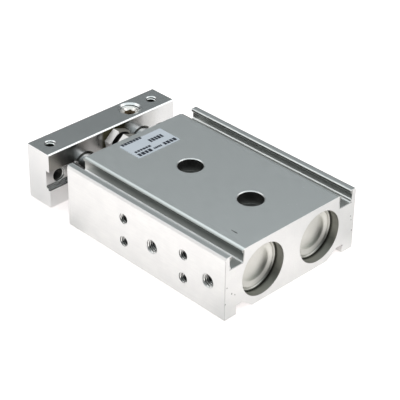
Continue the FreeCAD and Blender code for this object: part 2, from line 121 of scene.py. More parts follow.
def threadRidge(bm, mouth, inward, s, stepsPerTurn=28):
    # one helical ridge that rises from the radius of a wall or core to its crest
    side = inward.orthogonal().normalized()
    wall = s["radius"] * mm
    crest = s["crest"] * mm
    pitch = s["pitch"] * mm
    length = s["depth"] * mm
    root = wall + ridgeShape["bite"] * mm * (1 if wall > crest else -1)
    foot = ridgeShape["foot"] * pitch
    top = ridgeShape["top"] * pitch
    profile = [(-foot, root), (-top, crest), (top, crest), (foot, root)]
    corners = [bm.verts.new(mouth + inward * a + side * r) for a, r in profile]
    face = bm.faces.new(corners)
    turns = length / pitch
    steps = max(4, round(stepsPerTurn * turns))
    geom = corners + list(face.edges) + [face]
    bmesh.ops.spin(bm, geom=geom, cent=mouth, axis=inward, dvec=inward * (length / steps),
                   angle=2 * math.pi * turns, steps=steps)


# camera, at the photograph's own viewpoint

cameraSettings = {
    "place": (-0.3023, 0.3054, 0.2906),
    "looksAt": (0.01082, -0.00087, 0.012),
    "tilt": 0.718,
    "lens": 130.05,
    "sensor": 36.0,
    "clip": (0.02, 20),
}


def makeCamera(s):
    data = bpy.data.cameras.new("camera")
    data.lens = s["lens"]
    data.sensor_width = s["sensor"]
    data.clip_start, data.clip_end = s["clip"]
    camera = bpy.data.objects.new("camera", data)
    scene.collection.objects.link(camera)
    camera.location = s["place"]
    camera.rotation_mode = "QUATERNION"
    view = Vector(s["looksAt"]) - camera.location
    turn = Quaternion((0, 0, 1), math.radians(s["tilt"]))
    camera.rotation_quaternion = view.to_track_quat("-Z", "Y") @ turn
    scene.camera = camera


makeCamera(cameraSettings)
scene.view_settings.view_transform = "Standard"
print("camera placed")


# shader building blocks

def nodeMaker(tree):
    def make(kind, **settings):
        node = tree.nodes.new(kind)
        for key, value in settings.items():
            setattr(node, key, value)
        return node
    return make


def join(tree, source, target):
    tree.links.new(source, target)


def mathNode(tree, operation, a, b=None):
    node = tree.nodes.new("ShaderNodeMath")
    node.operation = operation
    for index, value in enumerate((a, b)):
        if isinstance(value, (int, float)):
            node.inputs[index].default_value = value
        elif value is not None:
            join(tree, value, node.inputs[index])
    return node.outputs[0]


def vectorNode(tree, operation, a, b=None):
    # puts out a number for a length, a distance or a dot product, and a vector otherwise
    node = tree.nodes.new("ShaderNodeVectorMath")
    node.operation = operation
    for index, value in enumerate((a, b)):
        if isinstance(value, tuple):
            node.inputs[index].default_value = value
        elif value is not None:
            join(tree, value, node.inputs[index])
    return node.outputs["Value" if operation in ("LENGTH", "DISTANCE", "DOT_PRODUCT") else "Vector"]


def axesOf(tree, vector):
    split = tree.nodes.new("ShaderNodeSeparateXYZ")
    join(tree, vector, split.inputs[0])
    return split.outputs


def mixColours(tree, factor, a, b, blend="MIX"):
    node = tree.nodes.new("ShaderNodeMix")
    node.data_type = "RGBA"
    node.blend_type = blend
    for index, value in ((0, factor), (6, a), (7, b)):
        if isinstance(value, (int, float)):
            node.inputs[index].default_value = value
        elif isinstance(value, tuple):
            node.inputs[index].default_value = (*value, 1)
        else:
            join(tree, value, node.inputs[index])
    return node.outputs[2]


def ramp(tree, value, low, high, outLow=0.0, outHigh=1.0):
    # a soft step between two values, level beyond them
    node = tree.nodes.new("ShaderNodeMapRange")
    node.interpolation_type = "SMOOTHSTEP"
    join(tree, value, node.inputs["Value"])
    for name, number in (("From Min", low), ("From Max", high), ("To Min", outLow), ("To Max", outHigh)):
        node.inputs[name].default_value = number
    return node.outputs["Result"]


def newGroup(name, inputs, outputs):
    group = bpy.data.node_groups.new(name, "ShaderNodeTree")
    for label, kind, value in inputs:
        socket = group.interface.new_socket(name=label, in_out="INPUT", socket_type=kind)
        if value is not None:
            socket.default_value = value
    for label, kind in outputs:
        group.interface.new_socket(name=label, in_out="OUTPUT", socket_type=kind)
    return group, group.nodes.new("NodeGroupInput"), group.nodes.new("NodeGroupOutput")


grainSettings = {"fineDetail": 4, "fineRoughness": 0.6, "cloudDetail": 3}


def makeGrainGroup(s):
    # fine marks of a tool or a die, drawn out along the axis with the smallest stretch
    group, given, out = newGroup("surfaceGrain", [
        ("Vector", "NodeSocketVector", None),
        ("Stretch", "NodeSocketVector", (1.0, 1.0, 1.0)),
        ("Scale", "NodeSocketFloat", 3000.0),
        ("Mottle Scale", "NodeSocketFloat", 220.0),
    ], [("Grain", "NodeSocketFloat"), ("Mottle", "NodeSocketFloat")])
    make = nodeMaker(group)
    stretched = vectorNode(group, "MULTIPLY", given.outputs["Vector"], given.outputs["Stretch"])
    fine = make("ShaderNodeTexNoise")
    fine.inputs["Detail"].default_value = s["fineDetail"]
    fine.inputs["Roughness"].default_value = s["fineRoughness"]
    join(group, stretched, fine.inputs["Vector"])
    join(group, given.outputs["Scale"], fine.inputs["Scale"])
    cloud = make("ShaderNodeTexNoise")
    cloud.inputs["Detail"].default_value = s["cloudDetail"]
    join(group, given.outputs["Vector"], cloud.inputs["Vector"])
    join(group, given.outputs["Mottle Scale"], cloud.inputs["Scale"])
    join(group, fine.outputs["Fac"], out.inputs["Grain"])
    join(group, cloud.outputs["Fac"], out.inputs["Mottle"])
    return group


handlingSettings = {
    "turn": (0.3, 0.2, 0.9),
    "stretch": (1.0, 0.03, 1.0),
    "lineDetail": 1,
    "lineWidth": (0.002, 0.006),
    "patchScale": 70,
    "patch": (0.6, 0.7),
}


def makeDentGroup(s):
    # scattered small dents and specks, and a few fine scratches
    group, given, out = newGroup("handlingMarks", [
        ("Vector", "NodeSocketVector", None),
        ("Dent Scale", "NodeSocketFloat", 260.0),
        ("Dent Size", "NodeSocketFloat", 0.16),
        ("Dent Share", "NodeSocketFloat", 0.12),
        ("Scratch Scale", "NodeSocketFloat", 90.0),
    ], [("Dents", "NodeSocketFloat"), ("Scratches", "NodeSocketFloat")])
    make = nodeMaker(group)
    cells = make("ShaderNodeTexVoronoi")
    join(group, given.outputs["Vector"], cells.inputs["Vector"])
    join(group, given.outputs["Dent Scale"], cells.inputs["Scale"])
    near = mathNode(group, "LESS_THAN", cells.outputs["Distance"], given.outputs["Dent Size"])
    split = make("ShaderNodeSeparateColor")
    join(group, cells.outputs["Color"], split.inputs[0])
    chosen = mathNode(group, "LESS_THAN", split.outputs[0], given.outputs["Dent Share"])
    join(group, mathNode(group, "MULTIPLY", near, chosen), out.inputs["Dents"])
    turned = make("ShaderNodeMapping")
    turned.inputs["Rotation"].default_value = s["turn"]
    turned.inputs["Scale"].default_value = s["stretch"]
    join(group, given.outputs["Vector"], turned.inputs["Vector"])
    lines = make("ShaderNodeTexNoise")
    lines.inputs["Detail"].default_value = s["lineDetail"]
    join(group, turned.outputs[0], lines.inputs["Vector"])
    join(group, given.outputs["Scratch Scale"], lines.inputs["Scale"])
    thin = mathNode(group, "ABSOLUTE", mathNode(group, "SUBTRACT", lines.outputs["Fac"], 0.5))
    rare = make("ShaderNodeTexNoise")
    rare.inputs["Scale"].default_value = s["patchScale"]
    join(group, given.outputs["Vector"], rare.inputs["Vector"])
    where = ramp(group, rare.outputs["Fac"], *s["patch"])
    line = ramp(group, thin, *s["lineWidth"], 1.0, 0.0)
    join(group, mathNode(group, "MULTIPLY", line, where), out.inputs["Scratches"])
    return group


edgeSettings = {
    "radius": 0.2,
    "samples": 8,
    "bare": (0.8, 0.99),
    "patchScale": 900,
    "patch": (0.35, 0.6),
}


def makeEdgeGroup(s):
    # where two faces meet: a rounded normal, and a mask of the edge, lightened for real wear and as a painted
    # highlight
    group, given, out = newGroup("edgeWear", [
        ("Vector", "NodeSocketVector", None),
    ], [("Edge", "NodeSocketFloat"), ("Normal", "NodeSocketVector")])
    make = nodeMaker(group)
    rounded = make("ShaderNodeBevel", samples=s["samples"])
    rounded.inputs["Radius"].default_value = s["radius"] * mm
    surface = make("ShaderNodeNewGeometry")
    likeness = vectorNode(group, "DOT_PRODUCT", rounded.outputs[0], surface.outputs["Normal"])
    bare = ramp(group, likeness, *s["bare"], 1.0, 0.0)
    broken = make("ShaderNodeTexNoise")
    broken.inputs["Scale"].default_value = s["patchScale"]
    join(group, given.outputs["Vector"], broken.inputs["Vector"])
    patchy = ramp(group, broken.outputs["Fac"], *s["patch"])
    join(group, mathNode(group, "MULTIPLY", bare, patchy), out.inputs["Edge"])
    join(group, rounded.outputs[0], out.inputs["Normal"])
    return group


def makeHoleGroup():
    # one inside a round hole along an axis, nought elsewhere
    group, given, out = newGroup("insideHole", [
        ("Vector", "NodeSocketVector", None),
        ("Centre", "NodeSocketVector", (0.0, 0.0, 0.0)),
        ("Across", "NodeSocketVector", (1.0, 1.0, 0.0)),
        ("Radius", "NodeSocketFloat", 0.001),
    ], [("Inside", "NodeSocketFloat")])
    offset = vectorNode(group, "SUBTRACT", given.outputs["Vector"], given.outputs["Centre"])
    flat = vectorNode(group, "MULTIPLY", offset, given.outputs["Across"])
    inside = mathNode(group, "LESS_THAN", vectorNode(group, "LENGTH", flat), given.outputs["Radius"])
    join(group, inside, out.inputs["Inside"])
    return group


slopeSettings = {"upwards": 0.7, "spread": 0.15}  # how far up or down a slope's normal points


def makeBoxGroup(s):
    # one on the faces inside a box, apart from those that slope by about 45 degrees, and nought elsewhere
    group, given, out = newGroup("insideBox", [
        ("Vector", "NodeSocketVector", None),
        ("Low", "NodeSocketVector", (0.0, 0.0, 0.0)),
        ("High", "NodeSocketVector", (1.0, 1.0, 1.0)),
    ], [("Inside", "NodeSocketFloat")])
    above = vectorNode(group, "SUBTRACT", given.outputs["Vector"], given.outputs["Low"])
    below = vectorNode(group, "SUBTRACT", given.outputs["High"], given.outputs["Vector"])
    axes = axesOf(group, vectorNode(group, "MINIMUM", above, below))
    nearest = mathNode(group, "MINIMUM", axes["X"], axes["Y"])
    nearest = mathNode(group, "MINIMUM", nearest, axes["Z"])
    surface = group.nodes.new("ShaderNodeNewGeometry")
    level = mathNode(group, "ABSOLUTE", axesOf(group, surface.outputs["True Normal"])["Z"])
    offSlope = mathNode(group, "ABSOLUTE", mathNode(group, "SUBTRACT", level, s["upwards"]))
    straight = mathNode(group, "GREATER_THAN", offSlope, s["spread"])
    inside = mathNode(group, "GREATER_THAN", nearest, 0.0)
    join(group, mathNode(group, "MULTIPLY", inside, straight), out.inputs["Inside"])
    return group


grainGroup = makeGrainGroup(grainSettings)
dentGroup = makeDentGroup(handlingSettings)
edgeGroup = makeEdgeGroup(edgeSettings)
holeGroup = makeHoleGroup()
boxGroup = makeBoxGroup(slopeSettings)


def startMaterial(name):
    material = bpy.data.materials.new(name)
    material.use_nodes = True
    tree = material.node_tree
    shader = tree.nodes["Principled BSDF"]
    place = tree.nodes.new("ShaderNodeTexCoord")
    return material, tree, shader, place.outputs["Object"]


def addGroup(tree, group, vector, **values):
    node = tree.nodes.new("ShaderNodeGroup")
    node.node_tree = group
    join(tree, vector, node.inputs["Vector"])
    for name, value in values.items():
        node.inputs[name.replace("_", " ")].default_value = value
    return node


def fadedTint(tree, axes, s):
    # one colour, or two that run into each other along an axis
    if "fade" not in s:
        return s["colour"]
    start, end = s["fade"]
    return mixColours(tree, ramp(tree, axes[s["axis"]], start, end), s["colour"], s["further"])


def paintHoleShade(tree, place, colour, holes):
    # painted shade in holes: the same hole on both sides is found through absolute coordinates; "below" keeps
    # the shade off the outer faces
    mirrored = vectorNode(tree, "ABSOLUTE", place)
    axes = axesOf(tree, mirrored)
    for hole in holes:
        inside = addGroup(tree, holeGroup, mirrored if hole["mirrored"] else place, Centre=hole["centre"],
                          Across=hole["across"], Radius=hole["radius"])
        deep = mathNode(tree, "LESS_THAN", axes[hole["axis"]], hole["below"])
        mask = mathNode(tree, "MULTIPLY", inside.outputs["Inside"], deep)
        colour = mixColours(tree, mask, colour, fadedTint(tree, axes, hole))
    return colour


def paintBoxShading(tree, place, colour, boxes):
    # painted light and shade: each box paints its faces, apart from 45-degree slopes, in one colour or two
    # that fade along an axis
    mirrored = vectorNode(tree, "ABSOLUTE", place)
    for box in boxes:
        source = mirrored if box["mirrored"] else place
        inside = addGroup(tree, boxGroup, source, Low=box["low"], High=box["high"])
        tint = fadedTint(tree, axesOf(tree, source), box)
        colour = mixColours(tree, inside.outputs["Inside"], colour, tint)
    return colour


def markMask(tree, place, marks):
    # small flat spots, each an ellipse along the axes
    total = None
    for mark in marks:
        group = addGroup(tree, holeGroup, place, Centre=mark["centre"], Across=mark["across"],
                         Radius=mark["radius"])
        inside = group.outputs["Inside"]
        total = inside if total is None else mathNode(tree, "MAXIMUM", total, inside)
    return total


def spotFactor(tree, place, spot):
    # a soft round patch: "glow" within "from" of its middle, one beyond "to"
    distance = vectorNode(tree, "DISTANCE", place, spot["middle"])
    return ramp(tree, distance, spot["from"], spot["to"], spot["glow"], 1.0)


grainHeight = 0.02 * mm
noiseReach = (0.3, 0.7)
lineReach = (0.35, 0.65)


def metalFinish(name, s):
    material, tree, shader, place = startMaterial(name)
    grain = addGroup(tree, grainGroup, place, Stretch=s["stretch"], Scale=s["grainScale"],
                     Mottle_Scale=s["mottleScale"])
    marks = addGroup(tree, dentGroup, place, Dent_Share=s["dentShare"], Dent_Size=s["dentSize"])
    edges = addGroup(tree, edgeGroup, place)
    cloudy = ramp(tree, grain.outputs["Mottle"], *noiseReach)
    colour = mixColours(tree, cloudy, s["colour"], s["colourShift"])
    lined = mathNode(tree, "MULTIPLY", ramp(tree, grain.outputs["Grain"], *lineReach), s["grainShade"])
    colour = mixColours(tree, lined, colour, s["grainColour"])
    # painted light and shade, box by box
    if s["recesses"]:
        colour = paintBoxShading(tree, place, colour, s["recesses"])
    # painted patches of light and shade, multiplied into the colour
    for spot in s["spots"]:
        colour = mixColours(tree, 1.0, colour, spotFactor(tree, place, spot), "MULTIPLY")
    dented = mathNode(tree, "MULTIPLY", marks.outputs["Dents"], s["dentDepth"])
    colour = mixColours(tree, dented, colour, s["dentColour"])
    for marksOfKind, tint in ((s["darkMarks"], s["dentColour"]), (s["lightMarks"], s["edgeColour"])):
        if marksOfKind:
            colour = mixColours(tree, markMask(tree, place, marksOfKind), colour, tint)
    scratched = mathNode(tree, "MULTIPLY", marks.outputs["Scratches"], s["scratchShade"])
    # edges lightened, for real wear and as a painted highlight
    wornAndLit = mathNode(tree, "MULTIPLY", edges.outputs["Edge"], s["edgeShade"])
    for mask in (scratched, wornAndLit):
        colour = mixColours(tree, mask, colour, s["edgeColour"])
    # painted shade inside the listed holes
    if s["holes"]:
        colour = paintHoleShade(tree, place, colour, s["holes"])
    join(tree, colour, shader.inputs["Base Color"])
    shader.inputs["Metallic"].default_value = s["metallic"]
    rough = ramp(tree, grain.outputs["Grain"], *noiseReach, s["roughness"] - s["roughSpread"],
                 s["roughness"] + s["roughSpread"])
    join(tree, rough, shader.inputs["Roughness"])
    height = mathNode(tree, "ADD", mathNode(tree, "MULTIPLY", grain.outputs["Grain"], s["grainDepth"]),
                      mathNode(tree, "MULTIPLY", marks.outputs["Dents"], -s["dentDepth"]))
    bump = tree.nodes.new("ShaderNodeBump")
    bump.inputs["Strength"].default_value = s["bump"]
    bump.inputs["Distance"].default_value = grainHeight
    join(tree, height, bump.inputs["Height"])
    join(tree, edges.outputs["Normal"], bump.inputs["Normal"])
    join(tree, bump.outputs["Normal"], shader.inputs["Normal"])
    return material


plainMetal = {
    "colour": (0.60, 0.61, 0.62),
    "colourShift": (0.64, 0.65, 0.655),
    "grainColour": (0.5, 0.51, 0.52),
    "grainShade": 0.25,
    "grainScale": 2600.0,
    "stretch": (1.0, 1.0, 1.0),
    "mottleScale": 160.0,
    "grainDepth": 1.0,
    "bump": 0.25,
    "roughness": 0.36,
    "roughSpread": 0.04,
    "metallic": 1.0,
    "dentShare": 0.0,
    "dentSize": 0.14,
    "dentDepth": 0.5,
    "dentColour": (0.2, 0.2, 0.19),
    "scratchShade": 0.3,
    "edgeColour": (0.86, 0.86, 0.85),
    "edgeShade": 0.6,
    "holes": [],
    "recesses": [],
    "spots": [],
    "darkMarks": [],
    "lightMarks": [],
}

bodyHoleShade = [
    # painted shade in both bores, from behind the head covers outwards
    {"centre": (0.0, 0.014, 0.0125), "across": (0, 1, 1), "radius": 0.0107, "mirrored": True, "axis": "X",
     "below": 0.03495, "fade": (0.0315, 0.0326), "colour": (0.07, 0.07, 0.06),
     "further": (0.45, 0.45, 0.415)},
    # painted shade in the upright fixing holes
    {"centre": (0.015, 0.0, 0.0), "across": (1, 1, 0), "radius": 0.0049, "mirrored": True, "axis": "Z",
     "below": 0.02468, "fade": (0.0201, 0.0218), "colour": (0.3, 0.3, 0.29), "further": (0.2, 0.195, 0.19)},
    # painted shade in the side threads, in two rows
    {"centre": (0.015, 0.0, 0.0166), "across": (1, 0, 1), "radius": 0.0021, "mirrored": True, "axis": "Y",
     "below": 0.03195, "colour": (0.12, 0.12, 0.115)},
    {"centre": (0.015, 0.0, 0.0072), "across": (1, 0, 1), "radius": 0.0021, "mirrored": True, "axis": "Y",
     "below": 0.03195, "colour": (0.12, 0.12, 0.115)},
    # painted shade in the air ports
    {"centre": (-0.0268, 0.0, 0.01205), "across": (1, 0, 1), "radius": 0.0026, "mirrored": False, "axis": "Y",
     "below": 0.0317, "colour": (0.12, 0.12, 0.115)},
    {"centre": (0.0006, 0.0, 0.01205), "across": (1, 0, 1), "radius": 0.0026, "mirrored": False, "axis": "Y",
     "below": 0.0317, "colour": (0.12, 0.12, 0.115)},
]

plateHoleShade = [
    # painted shade in the threads in the face and in the top
    {"centre": (0.0, 0.025, 0.0121), "across": (0, 1, 1), "radius": 0.0026, "mirrored": True, "axis": "X",
     "below": 0.0688, "colour": (0.08, 0.08, 0.075)},
    {"centre": (0.0633, 0.025, 0.0), "across": (1, 1, 0), "radius": 0.0021, "mirrored": True, "axis": "Z",
     "below": 0.0230, "colour": (0.05, 0.05, 0.05)},
    # painted shade in the holes of the set screw, the rods and the stop screw
    {"centre": (0.0633, -0.014, 0.0), "across": (1, 1, 0), "radius": 0.00415, "mirrored": False, "axis": "Z",
     "below": 0.0227, "colour": (0.12, 0.12, 0.11)},
    {"centre": (0.0, 0.014, 0.0125), "across": (0, 1, 1), "radius": 0.0056, "mirrored": True, "axis": "X",
     "below": 0.0689, "colour": (0.1, 0.1, 0.09)},
    {"centre": (0.0, -0.0012, 0.0169), "across": (0, 1, 1), "radius": 0.0032, "mirrored": False, "axis": "X",
     "below": 0.0689, "colour": (0.1, 0.1, 0.09)},
]

threadDepthShade = [
    # painted shade in the plate's threads, dark in their depth
    {"centre": (0.0, 0.025, 0.0121), "across": (0, 1, 1), "radius": 0.0028, "mirrored": True, "axis": "X",
     "below": 0.0688, "fade": (0.0593, 0.0599), "colour": (0.84, 0.84, 0.82), "further": (0.06, 0.06, 0.055)},
    {"centre": (0.0633, 0.025, 0.0), "across": (1, 1, 0), "radius": 0.0023, "mirrored": True, "axis": "Z",
     "below": 0.0235, "fade": (0.0218, 0.0222), "colour": (0.03, 0.03, 0.03), "further": (0.84, 0.84, 0.82)},
    # painted shade in the body's threads: side holes and ports
    {"centre": (0.015, 0.0, 0.0119), "across": (1, 0, 0.3), "radius": 0.0022, "mirrored": True, "axis": "Y",
     "below": 0.033, "fade": (0.0300, 0.0314), "colour": (0.12, 0.12, 0.115), "further": (0.7, 0.7, 0.68)},
    {"centre": (-0.0131, 0.0, 0.01205), "across": (0.16, 0, 1), "radius": 0.0028, "mirrored": False,
     "axis": "Y", "below": 0.033, "fade": (0.0288, 0.0312), "colour": (0.12, 0.12, 0.115),
     "further": (0.8, 0.8, 0.78)},
]

# painted shade on the far half of the nut and of the stop screw's head
nutFarSideShade = [
    {"low": (0.0470, -0.0080, 0.0105), "high": (0.0571, -0.0002, 0.0232), "mirrored": False,
     "colour": (0.27, 0.26, 0.235)},
]

# painted shade, nearly black, on the faces that head and nut turn to each other
stopGapShade = [
    {"low": (0.05125, -0.0075, 0.0105), "high": (0.05365, 0.0055, 0.0232), "mirrored": False,
     "colour": (0.012, 0.011, 0.01)},
]

plateLightAndShade = [
    # painted reflection on the inner face beside the rod: dark there, lighter outwards and inwards
    {"low": (0.0569, 0.0180, 0.0161), "high": (0.0571, 0.0312, 0.0232), "mirrored": False, "axis": "Y",
     "fade": (0.0205, 0.0280), "colour": (0.16, 0.16, 0.15), "further": (0.8, 0.79, 0.77)},
    {"low": (0.0569, 0.0145, 0.0161), "high": (0.0571, 0.0205, 0.0232), "mirrored": False, "axis": "Y",
     "fade": (0.0152, 0.0200), "colour": (0.78, 0.78, 0.77), "further": (0.16, 0.16, 0.15)},
    # painted shade on the inner face behind the nut, lighter on both sides of it
    {"low": (0.0569, 0.0030, 0.0100), "high": (0.0571, 0.0080, 0.0232), "mirrored": False, "axis": "Y",
     "fade": (0.0044, 0.0076), "colour": (0.07, 0.065, 0.035), "further": (0.8, 0.8, 0.79)},
    {"low": (0.0569, -0.0110, 0.0100), "high": (0.0571, 0.0030, 0.0232), "mirrored": False, "axis": "Y",
     "fade": (-0.0110, -0.0050), "colour": (0.8, 0.8, 0.79), "further": (0.07, 0.065, 0.035)},
    # painted shade on the lower ledges of the long slot
    {"low": (0.0569, -0.0315, 0.0081), "high": (0.0578, 0.0315, 0.0083), "mirrored": False,
     "colour": (0.13, 0.13, 0.125)},
    {"low": (0.0580, -0.0315, 0.0088), "high": (0.0588, 0.0315, 0.0090), "mirrored": False,
     "colour": (0.22, 0.22, 0.21)},
    # painted light on the top face
    {"low": (0.0573, -0.0315, 0.02335), "high": (0.0695, 0.0315, 0.0235), "mirrored": False,
     "colour": (0.92, 0.925, 0.915)},
]

rodShade = [
    # painted shade on the rods between body and plate, lighter at their tops
    {"low": (0.0445, 0.0, 0.0), "high": (0.0571, 0.0200, 0.0172), "mirrored": True, "axis": "Z",
     "fade": (0.0156, 0.0170), "colour": (0.14, 0.14, 0.14), "further": (0.46, 0.465, 0.47)},
]

# painted shade on the stop screw's shank, up to its plain end
stopShankShade = [
    {"centre": (0.0, -0.0012, 0.0169), "across": (0, 1, 1), "radius": 0.00302, "mirrored": False, "axis": "X",
     "below": 0.062, "colour": (0.06, 0.055, 0.05)},
]

bodyLightAndShade = [
    # painted shade on the walls and floor of the switch slots, darkest up under the lip
    {"low": (-1.0, 0.0234, 0.0197), "high": (1.0, 0.0302, 0.02462), "mirrored": True, "axis": "Z",
     "fade": (0.0202, 0.0233), "colour": (0.7, 0.705, 0.685), "further": (0.33, 0.335, 0.32)},
    {"low": (-1.0, 0.0238, 0.0195), "high": (1.0, 0.0302, 0.01995), "mirrored": True,
     "colour": (0.48, 0.485, 0.475)},
    # painted shade on the top face and the tops of the fins; on each of the two slopes a painted highlight
    # above painted shade
    {"low": (-0.0355, -0.0231, 0.02495), "high": (0.0455, 0.0231, 0.0251), "mirrored": False,
     "colour": (0.77, 0.775, 0.765)},
    {"low": (-1.0, 0.0230, 0.02464), "high": (1.0, 0.0245, 0.02503), "mirrored": True, "axis": "Y",
     "fade": (0.0234, 0.0247), "colour": (0.95, 0.955, 0.93), "further": (0.25, 0.25, 0.24)},
    {"low": (-1.0, 0.0300, 0.02495), "high": (1.0, 0.03195, 0.0251), "mirrored": True,
     "colour": (0.66, 0.665, 0.655)},
    # painted shade: a dark line down the upright rear corner
    {"low": (-0.0352, 0.0318, 0.0), "high": (-0.0348, 0.0322, 0.0238), "mirrored": False,
     "colour": (0.6, 0.6, 0.59)},
]

# soft patches in the domes: painted shade below and a painted highlight above the middle
coverLightAndShade = [
    {"middle": (-0.0312, 0.0068, 0.0045), "from": 0.0015, "to": 0.0085, "glow": 0.45},
    {"middle": (-0.0312, -0.0212, 0.0045), "from": 0.0015, "to": 0.0085, "glow": 0.5},
    {"middle": (-0.0312, 0.0070, 0.0165), "from": 0.0010, "to": 0.0065, "glow": 1.25},
    {"middle": (-0.0312, -0.0210, 0.0165), "from": 0.0010, "to": 0.0065, "glow": 1.2},
]

# small dark nicks in the top and the rear face
bodyScratches = [
    {"centre": (-0.02555, 0.01868, 0.025), "across": (0.13, 1.0, 1.0), "radius": 0.0002},
    {"centre": (-0.0262, 0.01866, 0.025), "across": (0.35, 1.0, 1.0), "radius": 0.00028},
    {"centre": (-0.035, 0.0311, 0.0130), "across": (1.0, 0.6, 1.0), "radius": 0.00017},
    {"centre": (-0.035, 0.0288, 0.0096), "across": (1.0, 1.0, 0.6), "radius": 0.00021},
    {"centre": (-0.035, 0.0273, 0.0085), "across": (1.0, 1.0, 0.7), "radius": 0.00019},
    {"centre": (-0.035, 0.0317, 0.0066), "across": (1.0, 0.7, 1.0), "radius": 0.0002},
    {"centre": (-0.035, 0.0266, 0.0003), "across": (1.0, 0.7, 1.0), "radius": 0.00018},
    {"centre": (-0.035, -0.0301, 0.0139), "across": (1.0, 1.0, 0.6), "radius": 0.00017},
    {"centre": (-0.035, -0.03055, 0.0122), "across": (1.0, 1.0, 0.6), "radius": 0.00016},
    {"centre": (-0.035, -0.0312, 0.0075), "across": (1.0, 1.0, 0.5), "radius": 0.00018},
    {"centre": (-0.035, -0.0267, 0.0031), "across": (1.0, 1.0, 1.0), "radius": 0.00024},
]

# small bright specks in the top face
bodyGlints = [
    {"centre": (-0.0225, -0.0186, 0.025), "across": (0.3, 1.0, 1.0), "radius": 0.00018},
    {"centre": (-0.0283, -0.0089, 0.025), "across": (0.6, 1.0, 1.0), "radius": 0.0002},
    {"centre": (-0.0264, -0.0066, 0.025), "across": (0.6, 1.0, 1.0), "radius": 0.00015},
]

finishes = {
    "anodised": {
        "holes": bodyHoleShade,
        "recesses": bodyLightAndShade,
        "darkMarks": bodyScratches,
        "lightMarks": bodyGlints,
        "colour": (0.80, 0.80, 0.79),
        "colourShift": (0.84, 0.84, 0.825),
        "grainColour": (0.74, 0.745, 0.74),
        "stretch": (0.06, 1.0, 1.0),
        "grainScale": 3200.0,
        "roughness": 0.40,
    },
    "plateAnodised": {
        "colour": (0.80, 0.805, 0.80),
        "colourShift": (0.83, 0.83, 0.82),
        "grainColour": (0.75, 0.755, 0.75),
        "stretch": (1.0, 0.08, 1.0),
        "grainScale": 3000.0,
        "grainShade": 0.15,
        "bump": 0.1,
        "roughness": 0.25,
        "roughSpread": 0.02,
        "holes": plateHoleShade,
        "recesses": plateLightAndShade,
    },
    "coverAluminium": {
        "spots": coverLightAndShade,
        "colour": (0.66, 0.655, 0.61),
        "colourShift": (0.69, 0.685, 0.645),
        "grainColour": (0.6, 0.595, 0.555),
        "roughness": 0.34,
        "grainShade": 0.12,
        "bump": 0.1,
    },
    "threadCut": {
        "colour": (0.84, 0.84, 0.82),
        "colourShift": (0.87, 0.87, 0.85),
        "grainColour": (0.8, 0.8, 0.78),
        "bump": 0.05,
        "roughness": 0.2,
        "roughSpread": 0.02,
        "holes": threadDepthShade,
    },
    "bearingAlloy": {"colour": (0.52, 0.52, 0.5), "colourShift": (0.56, 0.56, 0.54), "roughness": 0.4},
    "pistonAluminium": {"colour": (0.6, 0.59, 0.55), "colourShift": (0.64, 0.63, 0.6), "roughness": 0.38},
    "chromedSteel": {
        "colour": (0.46, 0.465, 0.47),
        "colourShift": (0.48, 0.485, 0.49),
        "grainColour": (0.42, 0.425, 0.43),
        "stretch": (1.0, 0.05, 0.05),
        "grainScale": 5000.0,
        "bump": 0.04,
        "roughness": 0.09,
        "roughSpread": 0.02,
        "recesses": rodShade,
    },
    "nickelSteel": {
        "colour": (0.88, 0.85, 0.81),
        "colourShift": (0.92, 0.89, 0.85),
        "grainColour": (0.76, 0.71, 0.65),
        "grainShade": 0.2,
        "bump": 0.08,
        "roughness": 0.3,
        "roughSpread": 0.03,
    },
    "satinNickel": {
        "colour": (0.98, 0.955, 0.935),
        "colourShift": (1.0, 0.975, 0.955),
        "grainColour": (0.9, 0.87, 0.84),
        "grainShade": 0.15,
        "bump": 0.05,
        "metallic": 0.35,
        "roughness": 0.5,
        "roughSpread": 0.03,
        "edgeShade": 0.2,
        "holes": stopShankShade,
        "recesses": nutFarSideShade + stopGapShade,
    },
    "blackSteel": {
        "colour": (0.035, 0.035, 0.037),
        "colourShift": (0.05, 0.05, 0.052),
        "grainColour": (0.02, 0.02, 0.022),
        "edgeColour": (0.2, 0.2, 0.21),
        "roughness": 0.34,
    },
    "springSteel": {
        "colour": (0.2, 0.19, 0.18),
        "colourShift": (0.26, 0.25, 0.235),
        "grainColour": (0.14, 0.135, 0.13),
        "edgeColour": (0.5, 0.5, 0.5),
        "roughness": 0.33,
    },
}


softSettings = {"grainScale": 2500.0, "mottleScale": 200.0, "bump": 0.3, "roughSpread": 0.06}


def softFinish(name, s):
    material, tree, shader, place = startMaterial(name)
    grain = addGroup(tree, grainGroup, place, Scale=s["grainScale"], Mottle_Scale=s["mottleScale"])
    cloudy = ramp(tree, grain.outputs["Mottle"], *noiseReach)
    join(tree, mixColours(tree, cloudy, s["colour"], s["colourShift"]), shader.inputs["Base Color"])
    rough = ramp(tree, grain.outputs["Grain"], *noiseReach, s["roughness"] - s["roughSpread"],
                 s["roughness"] + s["roughSpread"])
    join(tree, rough, shader.inputs["Roughness"])
    bump = tree.nodes.new("ShaderNodeBump")
    bump.inputs["Strength"].default_value = s["bump"]
    bump.inputs["Distance"].default_value = grainHeight
    join(tree, grain.outputs["Grain"], bump.inputs["Height"])
    join(tree, bump.outputs["Normal"], shader.inputs["Normal"])
    return material


